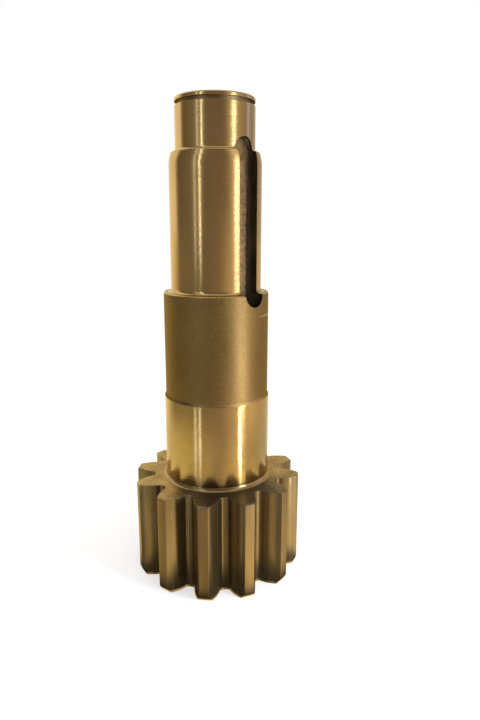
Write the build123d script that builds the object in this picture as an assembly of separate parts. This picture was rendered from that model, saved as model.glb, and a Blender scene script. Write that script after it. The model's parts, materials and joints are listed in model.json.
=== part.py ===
from build123d import *
import math
import os

# Pinion shaft, turned, milled and hobbed from one bar of steel, in millimetres.
# A twelve-tooth spur pinion stands at the foot. Above it come a ground bearing journal, a plain turned
# collar, the keyed seat for a hub, and an end journal with a groove for a retaining ring.
# The shaft stands on the pinion's end face: the origin is the centre of that face, +Z runs up the axis,
# and the keyway faces -Y.

# Pinion teeth
module = 10.0
tooth_count = 12
pressure_angle = 20.0
profile_shift = 0.75
addendum_factor = 0.55
dedendum_factor = 1.2
hob_tip_factor = 0.38
face_width = 85.0
tooth_angle_from_keyway = 5.2

# Turned edges of the pinion's teeth
upper_tooth_chamfer = 1.2
lower_tooth_chamfer_radial = 3.0
lower_tooth_chamfer_axial = 5.2

# Bearing journal above the pinion
bearing_journal_diameter = 90.0
bearing_journal_length = 75.0
bearing_journal_root_fillet = 3.5
bearing_journal_lead_in = 2.0

# Turned collar
collar_diameter = 88.0
collar_length = 87.0
collar_edge_chamfer = 0.8

# Keyed seat for a hub
seat_diameter = 75.0
seat_length = 110.0
seat_root_fillet = 3.2
seat_lead_in_radial = 1.6
seat_lead_in_axial = 6.5
seat_edge_chamfer = 0.6

# End journal and its retaining ring groove
end_journal_diameter = 64.0
end_journal_length = 40.6
end_journal_root_fillet = 2.2
end_chamfer = 1.0
ring_groove_width = 3.0
ring_groove_depth = 1.5
ring_groove_land = 3.2

# Keyway, cut with an end mill as wide as the key
keyway_width = 20.0
keyway_depth = 12.0
keyway_overrun = 10.0

# Centre holes in both ends, which carry the shaft while it is turned and ground
centre_pilot_diameter = 6.3
centre_mouth_diameter = 13.2
centre_pilot_depth = 9.0
centre_cone_angle = 60.0
drill_point_angle = 118.0

# Tooth proportions that follow from the sizes above
PRESSURE = math.radians(pressure_angle)
pitch_radius = module * tooth_count / 2
base_radius = pitch_radius * math.cos(PRESSURE)
shift = profile_shift * module
tip_radius = pitch_radius + shift + addendum_factor * module
root_radius = pitch_radius + shift - dedendum_factor * module
lead_angle = 360.0 / tooth_count

# Levels along the axis, from the pinion's end face upwards
pinion_top = face_width
bearing_journal_top = pinion_top + bearing_journal_length
collar_top = bearing_journal_top + collar_length
seat_top = collar_top + seat_length
shaft_top = seat_top + end_journal_length

# Arcs that follow each involute flank and each trochoid fillet to within 0.03 mm
FLANK_ARCS = 2
FILLET_ARCS = 2

# How far the cutters run past the metal, and how far two joined forms run into each other
CUTTER_OVERRUN = 2.0
JOIN_OVERLAP = 1.0

# The most that a fillet takes of the flat beside it, and the hob's tip of the width of its rack tooth
FILLET_SHARE = 0.8
TIP_SHARE = 0.95


def involute(angle):
    """The involute function, tan(a) - a."""
    return math.tan(angle) - angle


def half_gap_angle(radius):
    """Half the angle that a tooth space spans at a radius, from the involute of the base circle."""
    half_tooth_at_pitch = (math.pi / 2 + 2 * profile_shift * math.tan(PRESSURE)) / tooth_count
    half_tooth = half_tooth_at_pitch + involute(PRESSURE) - involute(math.acos(base_radius / radius))
    return math.pi / tooth_count - half_tooth


def polar(radius, angle):
    """A point of the tooth space's outline, whose centre line is the X axis."""
    return (radius * math.cos(angle), radius * math.sin(angle))


def hob_tip():
    """The hob's rounded tip: its radius, its centre's depth inside the pitch line, and half its flat."""
    cutting_depth = dedendum_factor * module
    half_width = math.pi * module / 4
    room = (half_width - cutting_depth * math.tan(PRESSURE)) * math.cos(PRESSURE) / (1 - math.sin(PRESSURE))
    radius = min(hob_tip_factor * module, TIP_SHARE * room)
    depth = cutting_depth - radius - shift
    half_flat = half_width - (cutting_depth - radius) * math.tan(PRESSURE) - radius / math.cos(PRESSURE)
    return radius, depth, half_flat


def root_fillet_point(normal_angle):
    """A point of the root fillet, the envelope of the hob's rounded tip as the blank rolls past it.

    The contact normal always passes through the pitch point. Its angle runs from 0, where the tip
    touches the root circle, to 90 degrees less the pressure angle, where the involute takes over.
    """
    radius, depth, half_flat = hob_tip()
    travel = depth * math.tan(normal_angle) - half_flat
    x = pitch_radius - depth - radius * math.cos(normal_angle)
    y = depth * math.tan(normal_angle) + radius * math.sin(normal_angle)
    return polar(math.hypot(x, y), math.atan2(y, x) - travel / pitch_radius)


def roll_angle(radius):
    """How far the base circle has rolled when the involute reaches a radius."""
    return math.sqrt((radius / base_radius) ** 2 - 1)


def flank_point(roll):
    """A point of the involute flank."""
    radius = base_radius * math.hypot(1, roll)
    return polar(radius, half_gap_angle(radius))


def spaced(start, end, count):
    """Evenly spaced values with both ends."""
    return [start + (end - start) * i / (count - 1) for i in range(count)]


def arcs_along(points):
    """A row of arcs along a curve, each through three of its points."""
    for start, middle, end in zip(points[::2], points[1::2], points[2::2]):
        ThreePointArc(start, middle, end)


def tooth_space():
    """One tooth space as the hob leaves it: root land, two trochoid fillets and two involute flanks."""
    normal_angles = spaced(0.0, math.pi / 2 - PRESSURE, 2 * FILLET_ARCS + 1)
    fillet = [root_fillet_point(angle) for angle in normal_angles]
    form_radius = math.hypot(*fillet[-1])
    rolls = spaced(roll_angle(form_radius), roll_angle(tip_radius + CUTTER_OVERRUN), 2 * FLANK_ARCS + 1)
    flank = [fillet[-1]] + [flank_point(roll) for roll in rolls[1:]]
    with BuildSketch() as outline:
        with BuildLine():
            arcs_along(fillet)
            arcs_along(flank)
            mirror(about=Plane.XZ)
            Line(flank[-1], (flank[-1][0], -flank[-1][1]))
            ThreePointArc((fillet[0][0], -fillet[0][1]), (root_radius, 0), fillet[0])
        make_face()
    return extrude(outline.sketch, amount=face_width)


def pinion():
    """The pinion: a turned disc with chamfered rims, and its tooth spaces cut right through."""
    rim = [
        (0, 0),
        (tip_radius - lower_tooth_chamfer_radial, 0),
        (tip_radius, lower_tooth_chamfer_axial),
        (tip_radius, pinion_top - upper_tooth_chamfer),
        (tip_radius - upper_tooth_chamfer, pinion_top),
        (0, pinion_top),
    ]
    blank = revolve(Plane.XZ * make_face(Polyline(*rim, close=True)), Axis.Z)
    first_space = -90 + tooth_angle_from_keyway + lead_angle / 2
    space = tooth_space()
    return blank - [Rot(0, 0, first_space + i * lead_angle) * space for i in range(tooth_count)]


def turned_shaft():
    """The stepped shaft above the pinion, turned about Z from one half profile."""
    bearing_radius = bearing_journal_diameter / 2
    collar_radius = collar_diameter / 2
    seat_radius = seat_diameter / 2
    end_radius = end_journal_diameter / 2
    groove_top = shaft_top - ring_groove_land
    groove_foot = groove_top - ring_groove_width
    seat_rim = seat_radius - seat_lead_in_radial
    # A root fillet stays within the flat of the shoulder above or below it.
    seat_shoulder = abs(collar_radius - collar_edge_chamfer - seat_radius)
    end_shoulder = abs(seat_rim - seat_edge_chamfer - end_radius)
    # Each corner of the half profile has its place and the radius that the tool leaves there.
    corners = [
        ((0, pinion_top / 2), 0),
        ((bearing_radius, pinion_top / 2), 0),
        ((bearing_radius, bearing_journal_top - bearing_journal_lead_in), 0),
        ((collar_radius, bearing_journal_top), 0),
        ((collar_radius, collar_top - collar_edge_chamfer), 0),
        ((collar_radius - collar_edge_chamfer, collar_top), 0),
        ((seat_radius, collar_top), min(seat_root_fillet, FILLET_SHARE * seat_shoulder)),
        ((seat_radius, seat_top - seat_lead_in_axial), 0),
        ((seat_rim, seat_top - seat_edge_chamfer), 0),
        ((seat_rim - seat_edge_chamfer, seat_top), 0),
        ((end_radius, seat_top), min(end_journal_root_fillet, FILLET_SHARE * end_shoulder)),
        ((end_radius, groove_foot), 0),
        ((end_radius - ring_groove_depth, groove_foot), 0),
        ((end_radius - ring_groove_depth, groove_top), 0),
        ((end_radius, groove_top), 0),
        ((end_radius, shaft_top - end_chamfer), 0),
        ((end_radius - end_chamfer, shaft_top), 0),
        ((0, shaft_top), 0),
    ]
    outline = FilletPolyline(*[at for at, _ in corners], radius=[bend for _, bend in corners], close=True)
    return revolve(Plane.XZ * make_face(outline), Axis.Z)


def journal_root():
    """The ring of metal that the fillet at the bearing journal's foot leaves on the pinion's face."""
    radius = bearing_journal_diameter / 2
    inner = radius - JOIN_OVERLAP
    outer = radius + bearing_journal_root_fillet
    under = pinion_top - JOIN_OVERLAP
    top = pinion_top + bearing_journal_root_fillet
    with BuildSketch(Plane.XZ) as section:
        with BuildLine():
            Polyline((radius, top), (inner, top), (inner, under), (outer, under), (outer, pinion_top))
            RadiusArc((outer, pinion_top), (radius, top), bearing_journal_root_fillet)
        make_face()
    return revolve(section.sketch, Axis.Z)


def keyway():
    """The keyway's cutter path: a slot with round ends, centred on the seat, on the -Y side."""
    length = seat_length + 2 * keyway_overrun
    floor = seat_diameter / 2 - keyway_depth
    centre = Plane(origin=(0, -floor, collar_top + seat_length / 2), x_dir=(0, 0, 1), z_dir=(0, -1, 0))
    height = max(collar_diameter, seat_diameter, end_journal_diameter) / 2 - floor + CUTTER_OVERRUN
    return extrude(centre * SlotOverall(length, keyway_width), amount=height)


def centre_hole():
    """A centre hole with its mouth at Z = 0, drilled downwards: pilot, point and a cone for the centre."""
    pilot = centre_pilot_diameter / 2
    mouth = centre_mouth_diameter / 2
    cone_depth = (mouth - pilot) / math.tan(math.radians(centre_cone_angle / 2))
    pilot_foot = -cone_depth - centre_pilot_depth
    point_foot = pilot_foot - pilot / math.tan(math.radians(drill_point_angle / 2))
    outline = [(0, 0), (mouth, 0), (pilot, -cone_depth), (pilot, pilot_foot), (0, point_foot)]
    return revolve(Plane.XZ * make_face(Polyline(*outline, close=True)), Axis.Z)


def pinion_shaft():
    """The whole shaft as one solid."""
    body = pinion() + turned_shaft() + journal_root()
    body -= keyway()
    body -= Pos(0, 0, shaft_top) * centre_hole()
    body -= Rot(180, 0, 0) * centre_hole()
    return body


os.makedirs("parts", exist_ok=True)
shaft = pinion_shaft()
export_step(shaft, "parts/pinion_shaft.step")
box = shaft.bounding_box()
print("pinion_shaft", len(shaft.solids()), "solid,", len(shaft.faces()), "faces, volume", round(shaft.volume))
print("box", [round(v, 2) for v in (*box.min, *box.max)])
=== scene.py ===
# %% [markdown]
# # A pinion shaft in Blender
#
# The real object is one bar of steel that three machines have worked on. A lathe turns it to a stepped
# blank, a hob cuts twelve teeth into its foot, and an end mill cuts a keyway into its side. This lesson
# makes the mesh in the same order: a spun blank, two kinds of cutter, and a Boolean for the cutting.
# The first step loads the measured model, which gives the sizes and the place of everything.

# %% Load the frame
import json
import math

import bmesh
import bpy
from mathutils import Matrix, Vector


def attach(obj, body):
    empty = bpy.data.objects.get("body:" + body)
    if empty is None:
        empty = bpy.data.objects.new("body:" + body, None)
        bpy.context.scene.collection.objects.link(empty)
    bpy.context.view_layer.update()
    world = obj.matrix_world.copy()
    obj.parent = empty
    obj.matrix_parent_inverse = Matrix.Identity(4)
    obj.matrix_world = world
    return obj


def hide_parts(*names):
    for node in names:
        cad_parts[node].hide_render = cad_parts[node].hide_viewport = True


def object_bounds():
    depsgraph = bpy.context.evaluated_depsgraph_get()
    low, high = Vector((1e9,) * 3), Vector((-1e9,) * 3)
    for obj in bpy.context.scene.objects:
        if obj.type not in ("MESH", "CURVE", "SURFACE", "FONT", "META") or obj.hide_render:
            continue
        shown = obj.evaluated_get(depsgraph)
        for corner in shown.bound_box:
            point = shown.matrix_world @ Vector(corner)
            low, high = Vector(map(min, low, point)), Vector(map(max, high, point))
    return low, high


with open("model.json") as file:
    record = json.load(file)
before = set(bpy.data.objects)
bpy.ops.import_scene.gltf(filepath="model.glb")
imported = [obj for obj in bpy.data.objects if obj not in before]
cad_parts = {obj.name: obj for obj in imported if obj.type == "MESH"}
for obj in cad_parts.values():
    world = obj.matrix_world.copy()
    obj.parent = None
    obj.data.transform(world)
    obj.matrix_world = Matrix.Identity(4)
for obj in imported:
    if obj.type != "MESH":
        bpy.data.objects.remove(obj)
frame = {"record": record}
bpy.context.view_layer.update()
cad_box = [list(corner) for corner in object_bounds()]
MM = 0.001
mounts = {mount["name"]: mount for mount in frame["record"]["mounts"]}
print("CAD box", [[round(value, 4) for value in corner] for corner in cad_box])

# %% [markdown]
# ## Sizes
#
# Blender works in metres, and a machinist works in millimetres, so every size is written as so many MM.
# The radii and levels of the ground diameters are read from the frame's mounts, which a bearing and a
# hub would be fitted to. The other sizes are the turner's own: chamfers, fillets and the ring groove.

# %% Sizes of the turned shaft


def mount_radius(name):
    """The radius of a round mount, in metres."""
    return mounts[name]["dims"]["r_mm"] * MM


def mount_span(name):
    """The lowest and highest level of a round mount's wall."""
    middle = mounts[name]["pos_m"][2]
    half = mounts[name]["dims"]["length_mm"] * MM / 2
    return middle - half, middle + half


bearing_radius = mount_radius("bearing_journal")
seat_radius = mount_radius("hub_seat")
end_radius = mount_radius("end_journal")
collar_radius = 44 * MM
tip_radius = 73 * MM

bearing_fillet = 3.5 * MM
seat_fillet = 3.2 * MM
end_fillet = 2.2 * MM
collar_lead_in = 2.0 * MM
collar_edge = 0.8 * MM
seat_lead_in = (1.6 * MM, 6.5 * MM)
seat_lead_in_blend = 3 * MM
seat_edge = 0.6 * MM
end_chamfer = 1.0 * MM
groove_depth = 1.5 * MM
groove_width = 3.0 * MM
upper_tooth_chamfer = 1.2 * MM
lower_tooth_chamfer = (3.0 * MM, 5.2 * MM)

pinion_top = mount_span("bearing_journal")[0] - bearing_fillet
bearing_top = mount_span("bearing_journal")[1] + collar_lead_in
collar_top = mount_span("hub_seat")[0] - seat_fillet
seat_top = mount_span("end_journal")[0] - end_fillet
shaft_top = cad_box[1][2]
groove_foot = mount_span("end_journal")[1]

centre_half_angle = math.radians(30)
drill_half_angle = math.radians(59)
centre_pilot = 3.15 * MM
centre_mouth = 6.6 * MM
centre_pilot_depth = 9 * MM
centre_cone_depth = (centre_mouth - centre_pilot) / math.tan(centre_half_angle)
drill_point_depth = centre_pilot / math.tan(drill_half_angle)
print("levels in mm", [round(z / MM, 1) for z in (pinion_top, bearing_top, collar_top, seat_top, shaft_top)])

# %% [markdown]
# ## The turned blank
#
# A lathe makes every shape from half a profile that turns about the axis, and bmesh has the same tool:
# spin. The profile starts as bare corners. Each root where two steps meet has a fillet, because a sharp
# inner corner would crack, and no outer rim is left sharp. A vertex bevel on the profile's corner draws
# both kinds of arc, before the spin, so that they stay whole when the cutters run through them.

# %% Corners of the half profile
RIM = 0.3 * MM
CREASE = 0.15 * MM
# Each corner is a radius, a level, and the radius that the tool or the file leaves there.
profile = [
    (0, centre_cone_depth + centre_pilot_depth + drill_point_depth, 0),
    (centre_pilot, centre_cone_depth + centre_pilot_depth, 0),
    (centre_pilot, centre_cone_depth, 0),
    (centre_mouth, 0, RIM),
    (tip_radius - lower_tooth_chamfer[0], 0, RIM),
    (tip_radius, lower_tooth_chamfer[1], RIM),
    (tip_radius, pinion_top - upper_tooth_chamfer, RIM),
    (tip_radius - upper_tooth_chamfer, pinion_top, RIM),
    (bearing_radius, pinion_top, bearing_fillet),
    (bearing_radius, bearing_top - collar_lead_in, RIM),
    (collar_radius, bearing_top, CREASE),
    (collar_radius, collar_top - collar_edge, RIM),
    (collar_radius - collar_edge, collar_top, RIM),
    (seat_radius, collar_top, seat_fillet),
    (seat_radius, seat_top - seat_lead_in[1], seat_lead_in_blend),
    (seat_radius - seat_lead_in[0], seat_top - seat_edge, RIM),
    (seat_radius - seat_lead_in[0] - seat_edge, seat_top, CREASE),
    (end_radius, seat_top, end_fillet),
    (end_radius, groove_foot, RIM),
    (end_radius - groove_depth, groove_foot, CREASE),
    (end_radius - groove_depth, groove_foot + groove_width, CREASE),
    (end_radius, groove_foot + groove_width, RIM),
    (end_radius, shaft_top - end_chamfer, RIM),
    (end_radius - end_chamfer, shaft_top, RIM),
    (centre_mouth, shaft_top, RIM),
    (centre_pilot, shaft_top - centre_cone_depth, 0),
    (centre_pilot, shaft_top - centre_cone_depth - centre_pilot_depth, 0),
    (0, shaft_top - centre_cone_depth - centre_pilot_depth - drill_point_depth, 0),
]
print("profile corners", len(profile))

# %% Spin the blank
SPIN_STEPS = 240
FILLET_SEGMENTS = 9
RIM_SEGMENTS = 2
WELD = 0.001 * MM


def finished(bm, name):
    """A mesh object at the origin from a bmesh, with its doubles merged and its faces turned outwards."""
    bmesh.ops.remove_doubles(bm, verts=bm.verts, dist=WELD)
    bmesh.ops.recalc_face_normals(bm, faces=bm.faces)
    mesh = bpy.data.meshes.new(name)
    bm.to_mesh(mesh)
    bm.free()
    made = bpy.data.objects.new(name, mesh)
    bpy.context.scene.collection.objects.link(made)
    return made


def turned_blank():
    """The stepped blank, spun about Z from the half profile."""
    bm = bmesh.new()
    corners = [bm.verts.new((radius, 0, level)) for radius, level, _ in profile]
    for lower, upper in zip(corners, corners[1:]):
        bm.edges.new((lower, upper))
    for corner, (_, _, rounding) in zip(corners, profile):
        if rounding:
            bmesh.ops.bevel(bm, geom=[corner], offset=rounding, offset_type="OFFSET",
                            segments=FILLET_SEGMENTS if rounding > RIM else RIM_SEGMENTS,
                            profile=0.5, affect="VERTICES", material=-1)
    print("profile points", len(bm.verts))
    bmesh.ops.spin(bm, geom=bm.verts[:] + bm.edges[:], cent=(0, 0, 0), axis=(0, 0, 1), angle=math.tau,
                   steps=SPIN_STEPS, use_merge=True)
    return finished(bm, "pinion_shaft_body")


shaft = turned_blank()
print("blank faces", len(shaft.data.polygons))

# %% [markdown]
# ## Which machine made which face
#
# The same steel looks different after each machine. The journals and the seat are ground, the collar is
# only turned, the pinion's faces are faced off, and its tips are what is left of the turned blank. The ring
# groove and the foot of the collar are painted dark as shade, over some oil. Each of these gets its own
# material slot now, while the level and the radius of a face still say what it is.

# %% Sort the blank's faces
FINISHES = ["ground_steel", "turned_collar", "faced_steel", "tooth_tips", "oil_and_painted_shade"]


def finish_of(radius, level):
    """The finish of the blank's wall at a radius and a level."""
    if level < pinion_top + WELD and radius > bearing_radius + bearing_fillet:
        on_tips = radius > tip_radius - RIM / 2 and lower_tooth_chamfer[1] < level
        return "tooth_tips" if on_tips else "faced_steel"
    if bearing_top - collar_lead_in < level < bearing_top:
        return "oil_and_painted_shade"
    if bearing_top < level < collar_top - collar_edge:
        return "turned_collar"
    if groove_foot - WELD < level < groove_foot + groove_width + WELD and radius > centre_mouth:
        return "oil_and_painted_shade"
    shoulders = (pinion_top, collar_top, seat_top, shaft_top)
    if radius < centre_mouth or any(abs(level - shoulder) < WELD for shoulder in shoulders):
        return "faced_steel"
    return "ground_steel"


for name in FINISHES:
    shaft.data.materials.append(bpy.data.materials.new(name))
for face in shaft.data.polygons:
    radius = math.hypot(face.center.x, face.center.y)
    face.material_index = FINISHES.index(finish_of(radius, face.center.z))
for index, name in enumerate(FINISHES):
    print(name, sum(face.material_index == index for face in shaft.data.polygons), "faces")

# %% [markdown]
# ## The hob's tooth spaces
#
# The pinion has twelve teeth of module 10. A hob leaves an involute flank and, below it, a root fillet
# that is the path of the hob's rounded tip. Both are known curves, so a few points from their formulas
# draw half of one space, and mirror makes the other half. The outline is extruded up the face and copied
# round the axis.

# %% Tooth curves
teeth = 12
module = 10 * MM
pressure_angle = math.radians(20)
shift = 0.75 * module
hob_depth = 1.2 * module
hob_tip = 0.38 * module
tooth_angle_from_keyway = math.radians(5.2)
CUTTER_OVERRUN = 2 * MM

pitch_radius = module * teeth / 2
base_radius = pitch_radius * math.cos(pressure_angle)
root_radius = pitch_radius + shift - hob_depth
hob_centre = hob_depth - hob_tip - shift
hob_flat = (math.pi * module / 4 - (hob_depth - hob_tip) * math.tan(pressure_angle)
            - hob_tip / math.cos(pressure_angle))


def involute(angle):
    """The involute function."""
    return math.tan(angle) - angle


def half_space(radius):
    """Half the angle that a tooth space spans at a radius."""
    half_tooth = (math.pi / 2 + 2 * shift / module * math.tan(pressure_angle)) / teeth
    half_tooth += involute(pressure_angle) - involute(math.acos(base_radius / radius))
    return math.pi / teeth - half_tooth


def flank_point(roll):
    """A point of the involute flank, after its base circle has rolled so far."""
    radius = base_radius * math.hypot(1, roll)
    angle = half_space(radius)
    return Vector((radius * math.cos(angle), radius * math.sin(angle), 0))


def root_point(normal):
    """A point of the root fillet, where the hob's rounded tip has the normal at this angle."""
    x = pitch_radius - hob_centre - hob_tip * math.cos(normal)
    y = hob_centre * math.tan(normal) + hob_tip * math.sin(normal)
    turned = math.atan2(y, x) - (hob_centre * math.tan(normal) - hob_flat) / pitch_radius
    return Vector((math.hypot(x, y) * math.cos(turned), math.hypot(x, y) * math.sin(turned), 0))


def roll_to(radius):
    """The roll at which the involute reaches a radius."""
    return math.sqrt((radius / base_radius) ** 2 - 1)


def steps(start, end, count):
    """Evenly spaced values from start to end, with both."""
    return [start + (end - start) * i / count for i in range(count + 1)]


print("root, base and tip radius", [round(r / MM, 2) for r in (root_radius, base_radius, tip_radius)])

# %% Cut tooth spaces
FLANK_STEPS = 14
ROOT_STEPS = 10
LAND_STEPS = 3


def tooth_spaces():
    """The twelve spaces between the teeth as one cutter."""
    root = [root_point(a) for a in steps(0, math.pi / 2 - pressure_angle, ROOT_STEPS)]
    rolls = steps(roll_to(root[-1].length), roll_to(tip_radius + CUTTER_OVERRUN), FLANK_STEPS)
    flank = [flank_point(roll) for roll in rolls]
    land = [Vector((root_radius * math.cos(a), root_radius * math.sin(a), 0))
            for a in steps(0, math.atan2(root[0].y, root[0].x), LAND_STEPS)]
    half = land[:-1] + root[:-1] + flank
    bm = bmesh.new()
    points = [bm.verts.new(p) for p in half]
    for one, two in zip(points, points[1:]):
        bm.edges.new((one, two))
    bmesh.ops.mirror(bm, geom=bm.verts[:] + bm.edges[:], axis="Y", merge_dist=WELD)
    bmesh.ops.remove_doubles(bm, verts=bm.verts, dist=WELD)
    ends = [v for v in bm.verts if len(v.link_edges) == 1]
    bm.edges.new(ends)
    bmesh.ops.contextual_create(bm, geom=bm.edges[:])
    bmesh.ops.translate(bm, verts=bm.verts, vec=(0, 0, -CUTTER_OVERRUN))
    top = bmesh.ops.extrude_face_region(bm, geom=bm.faces[:])["geom"]
    raised = [g for g in top if isinstance(g, bmesh.types.BMVert)]
    bmesh.ops.translate(bm, verts=raised, vec=(0, 0, pinion_top + 2 * CUTTER_OVERRUN))
    first = tooth_angle_from_keyway - math.pi / 2 + math.pi / teeth
    bmesh.ops.rotate(bm, verts=bm.verts, cent=(0, 0, 0), matrix=Matrix.Rotation(first, 3, "Z"))
    one_space = bm.verts[:] + bm.edges[:] + bm.faces[:]
    for number in range(1, teeth):
        copy = bmesh.ops.duplicate(bm, geom=one_space)["geom"]
        turn = Matrix.Rotation(number * math.tau / teeth, 3, "Z")
        verts = [g for g in copy if isinstance(g, bmesh.types.BMVert)]
        bmesh.ops.rotate(bm, verts=verts, cent=(0, 0, 0), matrix=turn)
    return finished(bm, "tooth_space_cutter")


hob_cuts = tooth_spaces()
print("tooth spaces", teeth, "faces", len(hob_cuts.data.polygons))

# %% [markdown]
# ## The keyway
#
# The end mill is as wide as the key. It plunges at one end and travels along the axis, so the slot has
# round ends that run out past both shoulders of the seat. One vertex spun through half a turn draws an
# end, a turned copy makes the other, and the closed outline is extruded out of the shaft.

# %% Keyway cutter
keyway_width = 20 * MM
keyway_floor = -mounts["keyway"]["pos_m"][1]
END_STEPS = 24


def keyway_cutter():
    """The end mill's path as a solid slot on the -Y side."""
    middle = Vector((0, -keyway_floor, (collar_top + seat_top) / 2))
    bm = bmesh.new()
    start = bm.verts.new((keyway_width / 2, -keyway_floor, seat_top))
    bmesh.ops.spin(bm, geom=[start], cent=(0, -keyway_floor, seat_top), axis=(0, -1, 0), angle=math.pi,
                   steps=END_STEPS)
    copy = bmesh.ops.duplicate(bm, geom=bm.verts[:] + bm.edges[:])["geom"]
    bmesh.ops.rotate(bm, verts=[g for g in copy if isinstance(g, bmesh.types.BMVert)], cent=middle,
                     matrix=Matrix.Rotation(math.pi, 3, "Y"))
    loose = sorted((v for v in bm.verts if len(v.link_edges) == 1), key=lambda v: (v.co.x > 0, v.co.z))
    bm.edges.new(loose[:2])
    bm.edges.new(loose[2:])
    bmesh.ops.contextual_create(bm, geom=bm.edges[:])
    outer = bmesh.ops.extrude_face_region(bm, geom=bm.faces[:])["geom"]
    pulled = [g for g in outer if isinstance(g, bmesh.types.BMVert)]
    bmesh.ops.translate(bm, verts=pulled, vec=(0, keyway_floor - collar_radius - CUTTER_OVERRUN, 0))
    return finished(bm, "keyway_cutter")


key_cut = keyway_cutter()
print("keyway", round(keyway_width / MM, 1), "mm wide,", round(keyway_floor / MM, 1), "mm from the axis")

# %% [markdown]
# ## Cutting
#
# A Boolean takes a cutter out of the blank, as the tool does. The exact solver keeps the thin lands and
# the long fillet arcs whole. Its result is written into the mesh at once, and the cutter is thrown away.
# Each cutter lends its own material to the walls that it leaves, so the cut walls can be found again.

# %% Cut the blank


def cut_with(piece, cutter):
    """Takes a cutter out of a piece for good, and removes the cutter."""
    boolean = piece.modifiers.new("cut", "BOOLEAN")
    boolean.operation = "DIFFERENCE"
    boolean.solver = "EXACT"
    boolean.material_mode = "TRANSFER"
    boolean.object = cutter
    depsgraph = bpy.context.evaluated_depsgraph_get()
    cut = bpy.data.meshes.new_from_object(piece.evaluated_get(depsgraph))
    piece.modifiers.clear()
    piece.data = cut
    bpy.data.objects.remove(cutter)


hob_cuts.data.materials.append(bpy.data.materials.new("hobbed_flanks"))
key_cut.data.materials.append(bpy.data.materials.new("keyway_floor"))
key_cut.data.materials.append(bpy.data.materials.new("keyway_walls"))
for face in key_cut.data.polygons:
    face.material_index = 0 if abs(face.center.y + keyway_floor) < WELD else 1
cut_with(shaft, hob_cuts)
cut_with(shaft, key_cut)
print("faces", len(shaft.data.polygons), "materials", [m.name for m in shaft.data.materials])

# %% [markdown]
# ## Broken edges
#
# The cutters leave sharp edges where they break out of the blank, and a file or a brush takes the burr
# off. The tiny rounding that stays is what catches the light. Only an edge between a turned wall and a cut
# one is bevelled here, because the blank's own rims were rounded in its profile. The Weighted Normal
# modifier then keeps the large faces true, so that the shading bends only over the narrow roundings.

# %% Break the edges
EDGE_BREAK = 0.25 * MM
SHARP = math.radians(20)
SLIVER = 0.05 * MM
CLEAR = 0.3 * MM


def cut_rims(bm):
    """The sharp edges between a turned wall and one that a cutter left."""
    turned = len(FINISHES)
    return [edge for edge in bm.edges if edge.is_manifold and edge.calc_face_angle() > SHARP
            and min(face.material_index for face in edge.link_faces) < turned
            <= max(face.material_index for face in edge.link_faces)]


def break_edges(piece):
    """Rounds each sharp edge that a cutter left, after merging the slivers beside it."""
    bm = bmesh.new()
    bm.from_mesh(piece.data)
    bmesh.ops.remove_doubles(bm, verts=bm.verts, dist=SLIVER)
    bmesh.ops.dissolve_degenerate(bm, edges=bm.edges, dist=SLIVER)
    on_rims = {vert for edge in cut_rims(bm) for vert in edge.verts}
    beside = {edge.other_vert(vert): vert for vert in on_rims for edge in vert.link_edges
              if edge.calc_length() < CLEAR and edge.other_vert(vert) not in on_rims}
    bmesh.ops.weld_verts(bm, targetmap=beside)
    sharp = cut_rims(bm)
    bmesh.ops.bevel(bm, geom=sharp, offset=EDGE_BREAK, offset_type="OFFSET", segments=2, profile=0.5,
                    affect="EDGES", clamp_overlap=False, material=-1)
    for face in bm.faces:
        face.smooth = True
    bm.to_mesh(piece.data)
    bm.free()
    return len(sharp)


print("edges broken", break_edges(shaft), "faces", len(shaft.data.polygons))
normals = shaft.modifiers.new("true_faces", "WEIGHTED_NORMAL")
normals.weight = 80
normals.keep_sharp = True

# %% [markdown]
# ## Camera
#
# The camera stands where the photographer's did. Its place, tilt and focal length come from fitting the
# outline of the stepped shaft and the tooth tips to the photo, seen as 480 by 720 pixels.

# %% Camera
IMAGE_HEIGHT = 720
FOCAL_PIXELS = 581.2
SENSOR = 36
view_azimuth = math.radians(-45.5)
camera_distance = 0.4906
camera_height = 0.3026
aim_right = math.radians(2.365)
aim_down = math.radians(13.26)
camera_roll = math.radians(0.146)

camera_data = bpy.data.cameras.new("camera")
camera_data.sensor_width = SENSOR
camera_data.lens = FOCAL_PIXELS * SENSOR / IMAGE_HEIGHT
camera_data.clip_start = 0.01
camera = bpy.data.objects.new("camera", camera_data)
bpy.context.scene.collection.objects.link(camera)
bpy.context.scene.camera = camera
around = Matrix.Rotation(view_azimuth, 4, "Z")
stand = Matrix.Translation((0, -camera_distance, camera_height))
aim = (Matrix.Rotation(-aim_right, 4, "Z") @ Matrix.Rotation(math.radians(90) - aim_down, 4, "X")
       @ Matrix.Rotation(camera_roll, 4, "Z"))
camera.matrix_world = around @ stand @ aim
print("camera at", [round(value, 3) for value in camera.matrix_world.translation])

# %% [markdown]
# ## White room
#
# The background is plain white. The world is white for the camera and for reflections, so that the steel
# shows the same room, and dimmer for the light that falls on the floor. The floor is a pale matt sheet
# that adds a little light of its own for the camera, and it keeps the soft shadow at the pinion's foot. It
# is hidden from the steel, because the next step gives the steel a ground with more light and shade.

# %% World
scene = bpy.context.scene
scene.view_settings.view_transform = "Standard"
WORLD_LIGHT = 0.62


def seen_or_mirrored(nodes, links):
    """1 for rays from the camera, a mirror or a glass, and 0 for the light that falls on matt surfaces."""
    path = nodes.new("ShaderNodeLightPath")
    total = path.outputs["Is Camera Ray"]
    for name in ("Is Glossy Ray", "Is Transmission Ray"):
        either = nodes.new("ShaderNodeMath")
        either.operation = "MAXIMUM"
        links.new(total, either.inputs[0])
        links.new(path.outputs[name], either.inputs[1])
        total = either.outputs[0]
    return total


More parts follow.
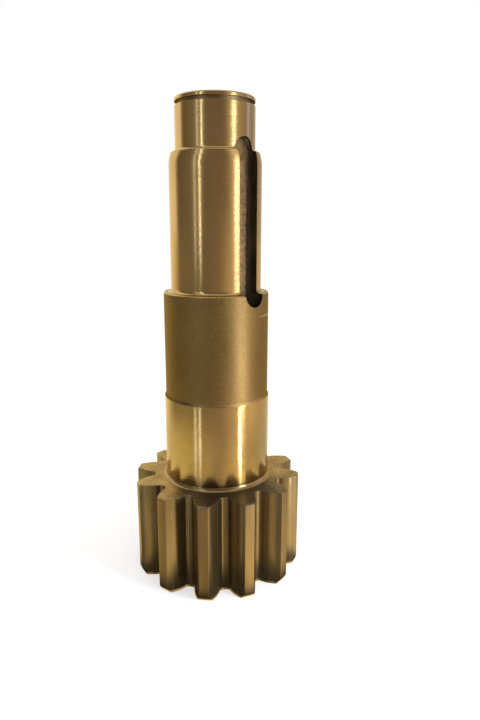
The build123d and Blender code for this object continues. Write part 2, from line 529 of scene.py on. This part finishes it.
world = bpy.data.worlds.new("white_room")
world.use_nodes = True
scene.world = world
nodes, links = world.node_tree.nodes, world.node_tree.links
strength = nodes.new("ShaderNodeMapRange")
strength.inputs["To Min"].default_value = WORLD_LIGHT
strength.inputs["To Max"].default_value = 1
links.new(seen_or_mirrored(nodes, links), strength.inputs["Value"])
links.new(strength.outputs["Result"], nodes["Background"].inputs["Strength"])
nodes["Background"].inputs["Color"].default_value = (1, 1, 1, 1)
print("world nodes", len(nodes))

# %% Floor
FLOOR_GLOW = 0.54
FLOOR_COLOUR = 0.84
FLOOR_HALF = 6

bm = bmesh.new()
bmesh.ops.create_grid(bm, x_segments=1, y_segments=1, size=FLOOR_HALF)
floor = finished(bm, "floor")
paper = bpy.data.materials.new("white_paper")
paper.use_nodes = True
nodes, links = paper.node_tree.nodes, paper.node_tree.links
shader = nodes["Principled BSDF"]
shader.inputs["Base Color"].default_value = (FLOOR_COLOUR, FLOOR_COLOUR, FLOOR_COLOUR, 1)
shader.inputs["Roughness"].default_value = 1
shader.inputs["Specular IOR Level"].default_value = 0
shader.inputs["Emission Color"].default_value = (1, 1, 1, 1)
glow = nodes.new("ShaderNodeMapRange")
glow.inputs["To Min"].default_value = 0
glow.inputs["To Max"].default_value = FLOOR_GLOW
links.new(seen_or_mirrored(nodes, links), glow.inputs["Value"])
links.new(glow.outputs["Result"], shader.inputs["Emission Strength"])
floor.data.materials.append(paper)
floor.visible_glossy = False
print("floor", 2 * FLOOR_HALF, "m wide, paper nodes", len(nodes))

# %% [markdown]
# ## The room in the steel
#
# Bright steel has no look of its own: it shows the room. The photo's room has a tall bright window to the
# right, a barred one to the left, pale walls behind and a dim side where the photographer stands. A ring
# round the shaft stands for the walls, and its colour changes with the azimuth. Flat rings stand for the
# ground that the journals look down on. The teeth look down much more steeply, at the ground beside their
# own feet, so a wide cone under the floor glows for them, with a colour for each azimuth too. A dark ring
# is the shade under the teeth. Only the steel sees any of these.

# %% Stage pieces that only the steel sees
RING_STEPS = 96


def seen_in_steel(piece):
    """Hides a stage piece from all but the reflections."""
    piece.visible_camera = False
    piece.visible_diffuse = False
    piece.visible_shadow = False


def glowing(name, piece):
    """The nodes, links and shader of a stage piece that only glows."""
    paint = bpy.data.materials.new(name)
    paint.use_nodes = True
    shader = paint.node_tree.nodes["Principled BSDF"]
    shader.inputs["Base Color"].default_value = (0, 0, 0, 1)
    shader.inputs["Specular IOR Level"].default_value = 0
    shader.inputs["Emission Strength"].default_value = 1
    piece.data.materials.append(paint)
    return paint.node_tree.nodes, paint.node_tree.links, shader


def ring(name, stops, low, high, near, far):
    """A ring round the shaft with a colour for each azimuth, measured rightwards from the camera."""
    bm = bmesh.new()
    ends = [bm.verts.new((near, 0, low)), bm.verts.new((far, 0, high))]
    edge = bm.edges.new(ends)
    bmesh.ops.spin(bm, geom=ends + [edge], cent=(0, 0, 0), axis=(0, 0, 1), angle=math.tau, steps=RING_STEPS,
                   use_merge=True)
    made = finished(bm, name)
    seen_in_steel(made)
    nodes, links, shader = glowing(name, made)
    place = nodes.new("ShaderNodeTexCoord")
    turn = nodes.new("ShaderNodeMapping")
    turn.inputs["Rotation"].default_value = (0, 0, math.pi / 2 - view_azimuth)
    angle = nodes.new("ShaderNodeTexGradient")
    angle.gradient_type = "RADIAL"
    ramp = nodes.new("ShaderNodeValToRGB")
    for _ in stops[2:]:
        ramp.color_ramp.elements.new(0.5)
    for stop, (azimuth, colour) in zip(ramp.color_ramp.elements, stops):
        stop.position = azimuth / 360 + 0.5
        stop.color = (*colour, 1)
    links.new(place.outputs["Object"], turn.inputs["Vector"])
    links.new(turn.outputs["Vector"], angle.inputs["Vector"])
    links.new(angle.outputs["Fac"], ramp.inputs["Fac"])
    links.new(ramp.outputs["Color"], shader.inputs["Emission Color"])
    made.active_material.cycles.emission_sampling = "NONE"


# %% Walls and ground
WALL_RADIUS = 0.9
WALL_FOOT = 0.27
WALL_TOP = 1.6
MAT_LEVEL = 0.004
MAT_INNER = 0.23
MAT_OUTER = 0.42
GROUND_INNER = 0.2
GROUND_OUTER = 2
GROUND_DEPTH = 2
SHADE_LEVEL = 0.002
SHADE_INNER = 0.05
SHADE_OUTER = 0.085

ring("walls", [
    (-180, (0.9, 0.8, 0.55)), (-150, (1.38, 1.25, 0.98)), (-114, (1.6, 1.5, 1.3)), (-105, (0.5, 0.46, 0.4)),
    (-98, (0.25, 0.23, 0.21)), (-62, (0.36, 0.34, 0.33)), (-56, (0.5, 0.5, 0.52)), (-32, (0.46, 0.46, 0.48)),
    (-27, (0.3, 0.28, 0.28)), (20, (0.33, 0.26, 0.29)), (30, (0.42, 0.37, 0.36)), (40, (0.85, 0.78, 0.7)),
    (48, (1.4, 1.35, 1.2)), (58, (1.4, 1.35, 1.2)), (68, (0.8, 0.7, 0.62)), (96, (0.52, 0.5, 0.55)),
    (103, (0.85, 0.95, 1.7)), (109, (1.0, 1.15, 2.2)), (114, (0.55, 0.6, 0.95)), (128, (0.6, 0.58, 0.64)),
    (150, (0.75, 0.68, 0.55)), (166, (0.7, 0.62, 0.48)), (180, (0.9, 0.8, 0.55))],
    WALL_FOOT, WALL_TOP, WALL_RADIUS, WALL_RADIUS)
low_walls = [
    (-180, (0.62, 0.52, 0.32)), (-150, (1.4, 1.18, 0.76)), (-130, (1.5, 1.28, 0.85)),
    (-102, (0.42, 0.37, 0.3)), (-30, (0.31, 0.29, 0.28)),
    (10, (0.52, 0.43, 0.41)), (30, (0.95, 0.82, 0.7)), (76, (1.5, 1.25, 0.95)), (100, (1.1, 0.95, 0.75)),
    (140, (1.0, 0.9, 0.7)), (180, (0.62, 0.52, 0.32))]
ring("low_walls", low_walls, MAT_LEVEL, WALL_FOOT, WALL_RADIUS, WALL_RADIUS)
ring("outer_mat", low_walls, MAT_LEVEL, MAT_LEVEL, MAT_OUTER, WALL_RADIUS)
ring("far_mat", [
    (-180, (0.72, 0.62, 0.37)), (-140, (1.25, 1.1, 0.7)), (-110, (1.22, 1.15, 0.67)), (-60, (1.15, 1.1, 0.6)),
    (-28, (0.82, 0.75, 0.55)), (18, (0.62, 0.53, 0.47)), (34, (0.86, 0.8, 0.68)), (46, (0.9, 0.82, 0.65)),
    (66, (0.76, 0.7, 0.54)), (90, (0.8, 0.77, 0.58)), (108, (0.9, 0.89, 0.82)), (135, (0.9, 0.86, 0.7)),
    (150, (1.0, 0.9, 0.64)), (180, (0.72, 0.62, 0.37))],
    MAT_LEVEL, MAT_LEVEL, MAT_INNER, MAT_OUTER)
ring("ground_below", [
    (-180, (1.3, 1.07, 0.65)), (-138, (1.7, 1.36, 0.74)), (-122, (2.2, 1.76, 0.96)), (-80, (1.4, 1.08, 0.57)),
    (-62, (0.32, 0.26, 0.16)), (-38, (0.32, 0.26, 0.16)), (-26, (1.6, 1.25, 0.68)), (-16, (1.65, 1.29, 0.7)),
    (-8, (0.5, 0.4, 0.24)), (6, (0.6, 0.48, 0.29)), (14, (1.2, 0.96, 0.58)), (24, (2.9, 2.28, 1.32)),
    (50, (3.1, 2.42, 1.4)), (60, (2.6, 2.05, 1.22)), (70, (2.5, 1.98, 1.2)), (86, (2.3, 1.85, 1.15)),
    (101, (1.25, 1.0, 0.63)), (120, (1.6, 1.27, 0.82)), (146, (2.1, 1.65, 1.0)), (180, (1.3, 1.07, 0.65))],
    -GROUND_DEPTH, 0, GROUND_INNER, GROUND_OUTER)
under_teeth = (0.08, 0.06, 0.04)
ring("shade_under_teeth", [(-180, under_teeth), (180, under_teeth)],
     SHADE_LEVEL, SHADE_LEVEL, SHADE_INNER, SHADE_OUTER)

# %% [markdown]
# ## The barred window
#
# The window to the left shows as two streaks, a wide dim one and a narrow bright one. A picture of a window
# on the wall would do, but a plain upright card for each streak is easier to place, and it glows with cool
# daylight. The bearing journal is lower and looks down at the room more steeply, so two more cards stand
# close to it and carry the streaks on to the pinion.

# %% Window bars
BAR_RADIUS = 0.36
BAR_LOW = 0.25
BAR_HIGH = 0.8
FOOT_RADIUS = 0.26
FOOT_HIGH = 0.09


def bar(name, azimuth, away, width, low, high, colour):
    """A narrow upright card that faces the shaft, at an azimuth from the camera and so far away."""
    bm = bmesh.new()
    bmesh.ops.create_grid(bm, x_segments=1, y_segments=1, size=0.5)
    bmesh.ops.scale(bm, verts=bm.verts, vec=(width, high - low, 1))
    bmesh.ops.transform(bm, verts=bm.verts, matrix=(
        Matrix.Rotation(view_azimuth + math.radians(azimuth), 4, "Z")
        @ Matrix.Translation((0, -away, (low + high) / 2)) @ Matrix.Rotation(math.radians(90), 4, "X")))
    made = finished(bm, name)
    seen_in_steel(made)
    _, _, shader = glowing(name, made)
    shader.inputs["Emission Color"].default_value = (*colour, 1)


bar("left_window_outer", -48.8, BAR_RADIUS, 0.026, BAR_LOW, BAR_HIGH, (1.6, 1.75, 2.2))
bar("left_window_inner", -36.5, BAR_RADIUS, 0.02, BAR_LOW, BAR_HIGH, (4.4, 4.8, 6.2))
bar("left_window_foot_outer", -44.4, FOOT_RADIUS, 0.0185, 0, FOOT_HIGH, (2.5, 2.7, 3.2))
bar("left_window_foot_inner", -34.6, FOOT_RADIUS, 0.0155, 0, FOOT_HIGH, (3.5, 3.7, 4.7))

# %% [markdown]
# ## The bright window
#
# The right window is far brighter than any wall, so it is a lamp, which lights the floor as well. Its streak
# runs down all three ground diameters. Each lower diameter looks at the room under a steeper angle, so two
# narrow strips close to the shaft carry the streak down to the pinion.

# %% Window lamps
DAYLIGHT = (0.86, 0.94, 1.25)
WARM_LIGHT = (1, 0.97, 0.95)
WINDOW_AWAY = 2
WINDOW_WIDTH = 0.2
WINDOW_TOP = 0.85
MIDDLE_LOW = 0.08
MIDDLE_HIGH = 0.18


def strip_lamp(name, azimuth, away, width, low, high, radiance, colour):
    """A narrow upright lamp that faces the shaft, at an azimuth from the camera and so far away."""
    light = bpy.data.lights.new(name, "AREA")
    light.shape = "RECTANGLE"
    light.size = width
    light.size_y = high - low
    light.color = colour
    light.energy = radiance * math.pi * width * (high - low)
    lamp = bpy.data.objects.new(name, light)
    scene.collection.objects.link(lamp)
    lamp.matrix_world = (Matrix.Rotation(view_azimuth + math.radians(azimuth), 4, "Z")
                         @ Matrix.Translation((0, -away, (low + high) / 2))
                         @ Matrix.Rotation(math.radians(90), 4, "X"))
    lamp.visible_camera = False


strip_lamp("right_window", 53.5, WINDOW_AWAY, WINDOW_WIDTH, 0, WINDOW_TOP, 30, DAYLIGHT)
strip_lamp("right_window_middle", 54, BAR_RADIUS, 0.04, MIDDLE_LOW, MIDDLE_HIGH, 26, WARM_LIGHT)
strip_lamp("right_window_foot", 47.2, FOOT_RADIUS, 0.0095, 0, FOOT_HIGH, 32, WARM_LIGHT)

# %% [markdown]
# ## How a machined surface is built
#
# Bare steel is a mirror that a tool has scratched, so every finish below has the same parts. The base
# colour is steel under a thin film of amber oil, and it drifts a little from place to place. The marks are
# noise on the Object coordinates, squeezed along the axis, so that they run round the shaft as a wheel or
# a turning tool leaves them. They change the roughness and, through a Bump node, the shape of the light.
# The Anisotropic sockets smear the highlights along the axis, across the marks. Specular Tint is a metal's
# colour at a grazing angle, and it is darker on duller steel, darkest where faces are painted dark as shade.
# On a few faces the base colour is painted lighter or darker as light and shade too. Last, a mark that lies
# in one place only fades out from a point, which is named by its azimuth from the camera, radius and level.

# %% Steel shader


def steel_nodes(name, anisotropic, edge_tint=(0.95, 0.9, 0.78)):
    """The nodes, links and shader of a steel finish whose marks run round the axis."""
    material = bpy.data.materials[name]
    material.use_nodes = True
    nodes, links = material.node_tree.nodes, material.node_tree.links
    shader = nodes["Principled BSDF"]
    shader.inputs["Metallic"].default_value = 1
    shader.inputs["Anisotropic"].default_value = anisotropic
    shader.inputs["Anisotropic Rotation"].default_value = 0.25
    shader.inputs["Specular Tint"].default_value = (*edge_tint, 1)
    tangent = nodes.new("ShaderNodeTangent")
    tangent.direction_type = "RADIAL"
    tangent.axis = "Z"
    links.new(tangent.outputs["Tangent"], shader.inputs["Tangent"])
    return nodes, links, shader


print("finishes to build", [material.name for material in shaft.data.materials])

# %% Marks and colours


def marks(nodes, links, around, along, detail=3, roughness=0.5):
    """Noise with so many waves per metre around the shaft and along it."""
    place = nodes.new("ShaderNodeTexCoord")
    stretch = nodes.new("ShaderNodeMapping")
    stretch.inputs["Scale"].default_value = (around, around, along)
    links.new(place.outputs["Object"], stretch.inputs["Vector"])
    noise = nodes.new("ShaderNodeTexNoise")
    noise.inputs["Scale"].default_value = 1
    noise.inputs["Detail"].default_value = detail
    noise.inputs["Roughness"].default_value = roughness
    links.new(stretch.outputs["Vector"], noise.inputs["Vector"])
    return noise.outputs["Fac"]


def between(nodes, links, value, low, high, start=0.35, end=0.65):
    """A value from low to high, while the noise goes from start to end."""
    reach = nodes.new("ShaderNodeMapRange")
    reach.inputs["From Min"].default_value = start
    reach.inputs["From Max"].default_value = end
    reach.inputs["To Min"].default_value = low
    reach.inputs["To Max"].default_value = high
    links.new(value, reach.inputs["Value"])
    return reach.outputs["Result"]


def tinted(nodes, links, value, one, two, start=0.35, end=0.65):
    """A colour from one to two, while the noise goes from start to end."""
    ramp = nodes.new("ShaderNodeValToRGB")
    for stop, position, colour in zip(ramp.color_ramp.elements, (start, end), (one, two)):
        stop.position = position
        stop.color = (*colour, 1)
    links.new(value, ramp.inputs["Fac"])
    return ramp.outputs["Color"]


def darkened(nodes, links, colour, factor, cover_colour):
    """A colour with another over it where the factor is 1: dirt, bare steel, painted shade or painted light.
    """
    cover = nodes.new("ShaderNodeMix")
    cover.data_type = "RGBA"
    links.new(factor, cover.inputs["Factor"])
    links.new(colour, cover.inputs["A"])
    cover.inputs["B"].default_value = (*cover_colour, 1)
    return cover.outputs["Result"]


print("1000 waves per metre are", round(1 / 1000 / MM, 2), "mm apart")

# %% Bumps, specks and stains


def bumped(nodes, links, height, depth, below=None):
    """A bump of a height field, so many metres deep, on top of another bump."""
    bump = nodes.new("ShaderNodeBump")
    bump.inputs["Distance"].default_value = depth
    links.new(height, bump.inputs["Height"])
    if below:
        links.new(below, bump.inputs["Normal"])
    return bump.outputs["Normal"]


def specks(nodes, links, scale, size):
    """1 in small spots strewn over the surface, and 0 between them."""
    place = nodes.new("ShaderNodeTexCoord")
    cells = nodes.new("ShaderNodeTexVoronoi")
    cells.inputs["Scale"].default_value = scale
    links.new(place.outputs["Object"], cells.inputs["Vector"])
    return between(nodes, links, cells.outputs["Distance"], 1, 0, size / 2, size)


def patch(nodes, links, azimuth, radius, level, size, strength):
    """Full strength at a place named from the camera, and 0 at the given size from it along each axis."""
    turn = view_azimuth + math.radians(azimuth)
    place = nodes.new("ShaderNodeTexCoord")
    centre = nodes.new("ShaderNodeMapping")
    centre.vector_type = "TEXTURE"
    centre.inputs["Location"].default_value = (radius * math.sin(turn), -radius * math.cos(turn), level)
    centre.inputs["Scale"].default_value = size
    fade = nodes.new("ShaderNodeTexGradient")
    fade.gradient_type = "SPHERICAL"
    links.new(place.outputs["Object"], centre.inputs["Vector"])
    links.new(centre.outputs["Vector"], fade.inputs["Vector"])
    return between(nodes, links, fade.outputs["Fac"], 0, strength, 0, 0.5)


print("the camera's azimuth is", round(math.degrees(view_azimuth), 1), "degrees")

# %% [markdown]
# ## Ground journals and seat
#
# A grinding wheel leaves lines finer than a hair, so the journals shine. Each line tilts the light a little,
# which makes the long streaks tremble. Two sizes of noise do that: fine lines for the roughness, and longer
# waves for the bump. A thin coat is the film of oil, whose own shine is white and not amber. A few dark
# specks are drops of oil and small dents. The front of the journal's foot, where the pinion begins, is
# painted dark as shade.

# %% Ground steel
nodes, links, shader = steel_nodes("ground_steel", anisotropic=0.72, edge_tint=(0.85, 0.78, 0.62))
shader.inputs["Coat Weight"].default_value = 0.4
shader.inputs["Coat Roughness"].default_value = 0.16
stain = marks(nodes, links, 22, 16, detail=4)
lines = marks(nodes, links, 120, 1300, detail=3, roughness=0.6)
waves = marks(nodes, links, 560, 950, detail=2)
base_tone = tinted(nodes, links, stain, (0.36, 0.228, 0.07), (0.43, 0.285, 0.098))
spotted = darkened(nodes, links, base_tone, specks(nodes, links, 70, 0.045), (0.1, 0.07, 0.03))
# Painted shade: the front of the journal's foot, beside the pinion, is darkened.
painted_front_shade = patch(nodes, links, -20, 45 * MM, pinion_top, (62 * MM, 62 * MM, 13 * MM), 0.6)
links.new(darkened(nodes, links, spotted, painted_front_shade, (0.12, 0.09, 0.05)), shader.inputs["Base Color"])
links.new(between(nodes, links, lines, 0.13, 0.24), shader.inputs["Roughness"])
fine = bumped(nodes, links, lines, 0.002 * MM)
links.new(bumped(nodes, links, waves, 0.05 * MM, fine), shader.inputs["Normal"])
print("ground steel nodes", len(nodes))

# %% [markdown]
# ## Turned collar
#
# Nothing runs on the collar, so it is left as the lathe turned it. The tool's feed leaves a coarse thread of
# marks that spreads the light of the window into a wide soft glow, and the oil lies darker in them. One
# light scratch at the right is a flat, narrow stain of bare steel.

# %% Turned collar
nodes, links, shader = steel_nodes("turned_collar", anisotropic=0.45, edge_tint=(0.8, 0.7, 0.5))
stain = marks(nodes, links, 18, 14, detail=4)
feed = marks(nodes, links, 300, 800, detail=2)
base_tone = tinted(nodes, links, stain, (0.2, 0.13, 0.046), (0.25, 0.164, 0.06))
threaded = darkened(nodes, links, base_tone, between(nodes, links, feed, 0, 0.28), (0.1, 0.07, 0.028))
scratch = patch(nodes, links, 70, collar_radius, collar_top - 18 * MM, (16 * MM, 16 * MM, 0.9 * MM), 1)
links.new(darkened(nodes, links, threaded, scratch, (0.5, 0.36, 0.17)), shader.inputs["Base Color"])
links.new(between(nodes, links, stain, 0.48, 0.6), shader.inputs["Roughness"])
links.new(bumped(nodes, links, feed, 0.04 * MM), shader.inputs["Normal"])
print("collar nodes", len(nodes))

# %% [markdown]
# ## Faced ends and tooth tips
#
# A facing cut draws fine rings round the axis, and the hob's burrs and the oil speckle them. The front of the
# pinion's face, beside the journal, is painted dark as shade. The tips of the teeth are strips of the turned
# blank, brighter than the flanks between them. The ring groove and the lead-in under the collar are painted
# dark as shade over some oil, and the lead-in is painted lighter at the right, where it faces the window.

# %% Faced steel
nodes, links, shader = steel_nodes("faced_steel", anisotropic=0.5)
stain = marks(nodes, links, 60, 60, detail=5, roughness=0.65)
grit = marks(nodes, links, 700, 700, detail=3, roughness=0.6)
base_tone = tinted(nodes, links, stain, (0.33, 0.228, 0.095), (0.55, 0.39, 0.168))
gritty = darkened(nodes, links, base_tone, between(nodes, links, grit, 0, 0.7, 0.5, 0.7), (0.07, 0.05, 0.025))
# Painted shade: the front of the pinion's face, beside the journal, is darkened.
painted_front_shade = patch(nodes, links, 20, 56 * MM, pinion_top, (58 * MM, 58 * MM, 58 * MM), 0.85)
links.new(darkened(nodes, links, gritty, painted_front_shade, (0.07, 0.06, 0.045)), shader.inputs["Base Color"])
links.new(between(nodes, links, grit, 0.34, 0.48), shader.inputs["Roughness"])
links.new(bumped(nodes, links, grit, 0.03 * MM), shader.inputs["Normal"])
print("faced steel nodes", len(nodes))

# %% Tooth tips
nodes, links, shader = steel_nodes("tooth_tips", anisotropic=0.2)
stain = marks(nodes, links, 60, 18, detail=4)
strokes = marks(nodes, links, 420, 14, detail=3, roughness=0.6)
base_tone = tinted(nodes, links, stain, (0.165, 0.119, 0.053), (0.215, 0.154, 0.07))
links.new(base_tone, shader.inputs["Base Color"])
links.new(between(nodes, links, strokes, 0.4, 0.5), shader.inputs["Roughness"])
links.new(bumped(nodes, links, strokes, 0.012 * MM), shader.inputs["Normal"])
print("tooth tips nodes", len(nodes))

# %% Oil and painted shade
# Painted shade over some oil: the ring groove and the lead-in under the collar are dark, with a dull Specular
# Tint.
nodes, links, shader = steel_nodes("oil_and_painted_shade", anisotropic=0.3, edge_tint=(0.45, 0.34, 0.17))
stain = marks(nodes, links, 60, 300, detail=3)
base_tone = tinted(nodes, links, stain, (0.12, 0.083, 0.036), (0.2, 0.14, 0.062))
# Painted light: the lead-in is lighter at the right, where it faces the window.
painted_window_light = patch(nodes, links, 65, collar_radius, bearing_top, (70 * MM, 70 * MM, 12 * MM), 1)
links.new(darkened(nodes, links, base_tone, painted_window_light, (0.36, 0.23, 0.08)), shader.inputs["Base Color"])
links.new(between(nodes, links, stain, 0.36, 0.5), shader.inputs["Roughness"])
print("oily steel nodes", len(nodes))

# %% [markdown]
# ## Hobbed flanks and milled keyway
#
# The cutter's strokes run up each flank as faint lines. They blur the reflection up and down and leave it
# sharp from side to side, so every flank has a bright and a dark part with a border between them. Old oil
# and dirt make the flanks a little less metallic. The keyway is the end mill's work: its floor carries the
# mill's marks, and it is painted brighter than the steel as light, to make up for the slot's shade, and
# darker near its upper end. Its high walls are painted nearly black as shade, and blacker still at the slot's
# lower end in the collar.

# %% Hobbed flanks
nodes, links, shader = steel_nodes("hobbed_flanks", anisotropic=0.85)
shader.inputs["Metallic"].default_value = 0.8
stain = marks(nodes, links, 60, 16, detail=4)
strokes = marks(nodes, links, 480, 12, detail=3, roughness=0.6)
base_tone = tinted(nodes, links, stain, (0.135, 0.1, 0.046), (0.18, 0.134, 0.061))
links.new(base_tone, shader.inputs["Base Color"])
links.new(between(nodes, links, strokes, 0.22, 0.3), shader.inputs["Roughness"])
links.new(bumped(nodes, links, strokes, 0.012 * MM), shader.inputs["Normal"])
print("flank nodes", len(nodes))

# %% Keyway floor
nodes, links, shader = steel_nodes("keyway_floor", anisotropic=0.3)
stain = marks(nodes, links, 70, 25, detail=4)
cuts = marks(nodes, links, 160, 500, detail=3, roughness=0.6)
# Painted light: the floor is coloured brighter than the steel, to make up for the shade of the slot.
base_tone = tinted(nodes, links, stain, (0.62, 0.42, 0.18), (0.8, 0.56, 0.27))
# The floor is darker near the slot's upper end.
upper_end_darkening = patch(nodes, links, 45.5, 25 * MM, seat_top + 10 * MM, (15 * MM, 15 * MM, 22 * MM), 0.75)
links.new(darkened(nodes, links, base_tone, upper_end_darkening, (0.22, 0.15, 0.07)), shader.inputs["Base Color"])
links.new(between(nodes, links, cuts, 0.35, 0.5), shader.inputs["Roughness"])
links.new(bumped(nodes, links, cuts, 0.02 * MM), shader.inputs["Normal"])
print("keyway floor nodes", len(nodes))

# %% Keyway walls
# Painted shade: the walls' colour and Specular Tint are nearly black.
nodes, links, shader = steel_nodes("keyway_walls", anisotropic=0.2, edge_tint=(0.15, 0.14, 0.1))
stain = marks(nodes, links, 90, 40, detail=4)
base_tone = tinted(nodes, links, stain, (0.035, 0.032, 0.022), (0.08, 0.07, 0.045))
# Painted shade: the walls are blacker still at the slot's lower end in the collar.
painted_slot_end_shade = patch(nodes, links, 45.5, 38 * MM, collar_top - 10 * MM, (18 * MM, 18 * MM, 18 * MM), 0.9)
links.new(darkened(nodes, links, base_tone, painted_slot_end_shade, (0.008, 0.008, 0.006)), shader.inputs["Base Color"])
links.new(between(nodes, links, stain, 0.4, 0.55), shader.inputs["Roughness"])
print("keyway wall nodes", len(nodes))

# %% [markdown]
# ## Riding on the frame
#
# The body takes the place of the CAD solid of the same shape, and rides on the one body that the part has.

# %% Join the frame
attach(shaft, "root")
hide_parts("pinion_shaft")
print("one body with", len(shaft.data.materials), "finishes")
